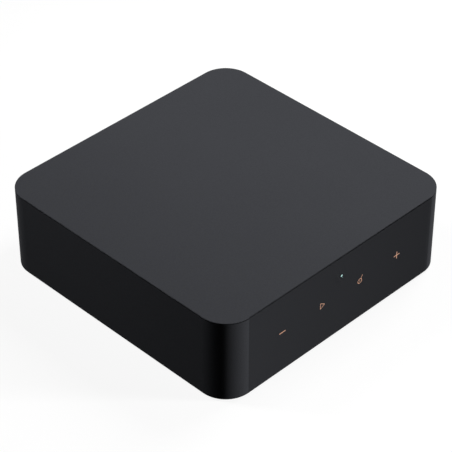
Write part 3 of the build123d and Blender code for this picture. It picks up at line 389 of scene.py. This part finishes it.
def foil(name):
    """Copper-toned metal foil, with the uneven tone of a thin print."""
    look = Finish(name)
    speck = look.noise(0.15 * mm)
    slow = look.noise(1.5 * mm)
    body = look.mix(look.spread(speck, 0.0, 1.0), foil_dark, foil_pale)
    body = look.mix(look.spread(slow, 0.0, 0.5), body, foil_deep)
    look.set(Base_Color=body, Metallic=0.85, Roughness=look.spread(speck, 0.32, 0.45))
    look.set(Normal=look.bump(speck, 0.004 * mm, strength=0.5))
    return look.material


def lit_pin(name, colour, glow):
    """A clear pin that glows: brightest in its middle, dimmer and deeper in tone towards its rim."""
    look = Finish(name)
    low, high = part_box("light_pipe")
    offset = look.vector("SUBTRACT", look.place, (low + high) / 2).outputs["Vector"]
    off_axis = look.vector("MULTIPLY", offset, (1.0, 0.0, 1.0)).outputs["Vector"]
    core = look.spread(look.length(off_axis), 1.0, 0.3, start=0.2 * pin_radius, end=pin_radius)
    cloud = look.spread(look.noise(0.3 * mm), 0.92, 1.08)
    look.set(Base_Color=look.mix(core, tint(colour, 0.5), colour))
    look.set(Roughness=look.spread(look.noise(0.2 * mm), 0.12, 0.2))
    look.set(Emission_Color=look.mix(core, tint(colour, 0.8), colour))
    look.set(Emission_Strength=look.calc("MULTIPLY", look.calc("MULTIPLY", core, cloud), glow))
    return look.material


def clear(name, colour, roughness):
    """Clear tinted plastic with faint moulding swirls."""
    look = Finish(name)
    swirl = look.noise(1.2 * mm, detail=3.0)
    look.set(Base_Color=look.mix(look.spread(swirl, 0.0, 1.0), tint(colour, 0.9), colour))
    look.set(Transmission_Weight=0.6, Roughness=look.spread(swirl, roughness, roughness + 0.06), IOR=1.49)
    return look.material


def make_finishes():
    """The materials by name: one for each material slot of the record, and the panel's ink."""
    finishes = {name: plastic(name, *values) for name, values in plastics.items()}
    finishes |= {name: metal(name, *values) for name, values in metals.items()}
    others = {
        "case_plastic": (case_finish,),
        "foot_rubber": (rubber, (0.030, 0.030, 0.030), 0.8),
        "pad_grey": (rubber, (0.40, 0.45, 0.50), 0.7),
        "mark_copper": (foil,),
        "light_clear": (lit_pin, (0.40, 0.70, 0.66), 0.5),
        "lens_clear": (clear, (0.65, 0.05, 0.04), 0.08),
        "board_laminate": (laminate, (0.012, 0.055, 0.032), (0.020, 0.095, 0.050)),
        "antenna_laminate": (laminate, (0.010, 0.012, 0.060), (0.020, 0.024, 0.110)),
    }
    return finishes | {name: make(name, *values) for name, (make, *values) in others.items()}


def dress(finishes):
    """Gives every CAD node the material of its slot."""
    for subpart in frame["record"]["subparts"]:
        slots = frame["nodes"][subpart["node"]].data.materials
        slots.clear()
        slots.append(finishes[subpart["material_slot"]])


def add_object(name, data):
    """Puts a new object in the scene."""
    item = bpy.data.objects.new(name, data)
    bpy.context.collection.objects.link(item)
    return item


def stroke(points, head=None):
    """The outline of a drawn line with square bends, and of the arrow head on it if one is given."""
    path = [Vector(point) for point in points]
    ways = [(after - before).normalized() for before, after in zip(path, path[1:])]
    right, left = [], []
    for index, point in enumerate(path):
        before, after = ways[max(index - 1, 0)], ways[min(index, len(ways) - 1)]
        side = Vector((-before.y - after.y, before.x + after.x)).normalized()
        reach = print_line / 2 / side.dot(Vector((-before.y, before.x)))
        right.append(point - reach * side)
        left.append(point + reach * side)
    tip = []
    if head:
        length, half = head
        side = Vector((-ways[-1].y, ways[-1].x))
        tip = [path[-1] - half * side, path[-1] + length * ways[-1], path[-1] + half * side]
    return [tuple(point) for point in right + tip + left[::-1]]


def tree_outline():
    """A box over two boxes, joined by a forked line, in mm from the middle."""
    line, reach, box, near, far = print_line / 2, 1.35, 0.5, 0.4, 1.3
    right_half = [
        (reach - line, -line), (reach - line, -near), (reach - box, -near), (reach - box, -far),
        (reach + box, -far), (reach + box, -near), (reach + line, -near), (reach + line, line),
        (line, line), (line, near), (box, near), (box, far),
    ]
    return right_half + [(-across, up) for across, up in right_half[::-1]]


def turn_points():
    """Points along three quarters of a ring, in mm from its middle."""
    radius = 0.95
    turns = [math.radians(turn) for turn in range(75, 331, 15)]
    return [(radius * math.cos(turn), radius * math.sin(turn)) for turn in turns]


def symbol_outlines():
    """The symbols as outlines in mm from their middle, as they are seen from behind."""
    dashes = [stroke([(start, -0.4), (start + 0.8, -0.4)]) for start in (-1.6, -0.4, 0.8)]
    return {
        "out": [
            stroke([(0.2, 1.0), (-1.3, 1.0), (-1.3, -1.0), (0.2, -1.0)]),
            stroke([(-0.5, 0.0), (1.2, 0.0)], arrow_head),
        ],
        "in": [
            stroke([(-0.2, 1.0), (1.3, 1.0), (1.3, -1.0), (-0.2, -1.0)]),
            stroke([(-2.1, 0.0), (-0.4, 0.0)], arrow_head),
        ],
        "direct": [stroke([(-1.6, 0.4), (1.6, 0.4)])] + dashes,
        "pulse": [stroke([(-1.6, -0.7), (-0.7, -0.7), (-0.7, 0.7), (0.7, 0.7), (0.7, -0.7), (1.6, -0.7)])],
        "renew": [stroke(turn_points(), turn_head)],
        "network": [tree_outline()],
    }


def add_print(name, outlines, node, level, ink):
    """A symbol printed on the back panel above a socket, as thin closed solids."""
    low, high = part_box(node)
    middle = (low.x + high.x) / 2
    panel_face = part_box("rear_panel")[1].y
    points, faces = [], []
    for outline in outlines:
        first, count = len(points), len(outline)
        for depth in (panel_face - print_sunk, panel_face + print_proud):
            points += [(middle - across * mm, depth, (level + up) * mm) for across, up in outline]
        under = [first + index for index in range(count)]
        over = [first + count + index for index in range(count)]
        faces += [under[::-1], over]
        for index in range(count):
            after = (index + 1) % count
            faces.append((under[index], under[after], over[after], over[index]))
    mesh = bpy.data.meshes.new(name)
    mesh.from_pydata(points, [], faces)
    mesh.materials.append(ink)
    piece = add_object(name, mesh)
    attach(piece, "case")


def place_from(centre, azimuth, elevation, distance):
    """The point at these angles in radians and this distance from the centre. Azimuth 0 is towards -Y."""
    flat = math.cos(elevation)
    way = Vector((math.sin(azimuth) * flat, -math.cos(azimuth) * flat, math.sin(elevation)))
    return centre + distance * way


def aim(item, target):
    """Turns a lamp or camera to face a point."""
    item.rotation_euler = (target - item.location).to_track_quat("-Z", "Y").to_euler()


def add_camera(target):
    """The photograph's camera, shifted so that its axis meets the picture at the principal point."""
    data = bpy.data.cameras.new("camera")
    data.sensor_width = camera_sensor
    data.lens = camera_lens
    middle = (image_size - 1) / 2
    data.shift_x = (middle - principal_x) / image_size
    data.shift_y = (principal_y - middle) / image_size
    camera = add_object("camera", data)
    camera.location = place_from(target, camera_azimuth, camera_elevation, camera_distance)
    aim(camera, target)
    bpy.context.scene.camera = camera


def add_lamp(name, target, azimuth, elevation, distance, side, brightness, beam, aim_x, aim_y):
    """A square soft lamp. A narrow beam gathers its light, so that needs less power."""
    half_beam = math.radians(beam) / 2
    gathered = 1.0 - half_beam / math.tan(half_beam)
    data = bpy.data.lights.new(name, "AREA")
    data.shape = "SQUARE"
    data.size = side
    data.spread = math.radians(beam)
    data.energy = brightness * (math.pi * distance) ** 2 * gathered
    lamp = add_object(name, data)
    lamp.location = place_from(target, math.radians(azimuth), math.radians(elevation), distance)
    aim(lamp, target + Vector((aim_x, aim_y, 0.0)))


def seen_rays(look):
    """1 for camera, glossy and transmission rays, and 0 for the light that reaches the object."""
    path = look.add("ShaderNodeLightPath")
    total = look.calc("ADD", path.outputs["Is Camera Ray"], path.outputs["Is Glossy Ray"])
    return look.calc("ADD", total, path.outputs["Is Transmission Ray"], clamp=True)


def add_floor():
    """A plain pale floor, white where it is seen, that keeps the object's shadow."""
    mesh = bpy.data.meshes.new("floor")
    half = floor_size / 2
    corners = [(-half, -half, 0.0), (half, -half, 0.0), (half, half, 0.0), (-half, half, 0.0)]
    mesh.from_pydata(corners, [], [(0, 1, 2, 3)])
    look = Finish("floor")
    seen = seen_rays(look)
    cloud = look.spread(look.noise(0.4), 0.99, 1.01)
    surface = look.mix(seen, floor_bounce, floor_pale)
    look.set(Base_Color=surface, Roughness=0.9, Specular_IOR_Level=0.0, Emission_Color=white)
    lift = look.spread(look.length(look.place), floor_lift, 1.0, start=lift_starts, end=lift_ends)
    look.set(Emission_Strength=look.calc("MULTIPLY", look.calc("MULTIPLY", seen, cloud), lift))
    mesh.materials.append(look.material)
    floor = add_object("floor", mesh)


def add_world():
    """A dim even world that is white where it is seen or mirrored."""
    world = bpy.data.worlds.new("studio")
    world.use_nodes = True
    bpy.context.scene.world = world
    look = Nodes(world.node_tree)
    back = look.tree.nodes["Background"]
    look.feed(back.inputs["Strength"], look.spread(seen_rays(look), ambient, 1.0, start=0.0, end=1.0))
    look.feed(back.inputs["Color"], white)


case_low, case_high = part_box("housing")
target = Vector(((case_low.x + case_high.x) / 2, (case_low.y + case_high.y) / 2, camera_height))
bpy.context.scene.view_settings.view_transform = "Standard"
finishes = make_finishes()
dress(finishes)
symbols = symbol_outlines()
for print_name, (symbol, node, level) in printed.items():
    add_print(print_name, symbols[symbol], node, level, finishes["panel_ink"])
add_floor()
add_world()
add_camera(target)
for lamp_name, lamp_values in lamps.items():
    add_lamp(lamp_name, target, **lamp_values)
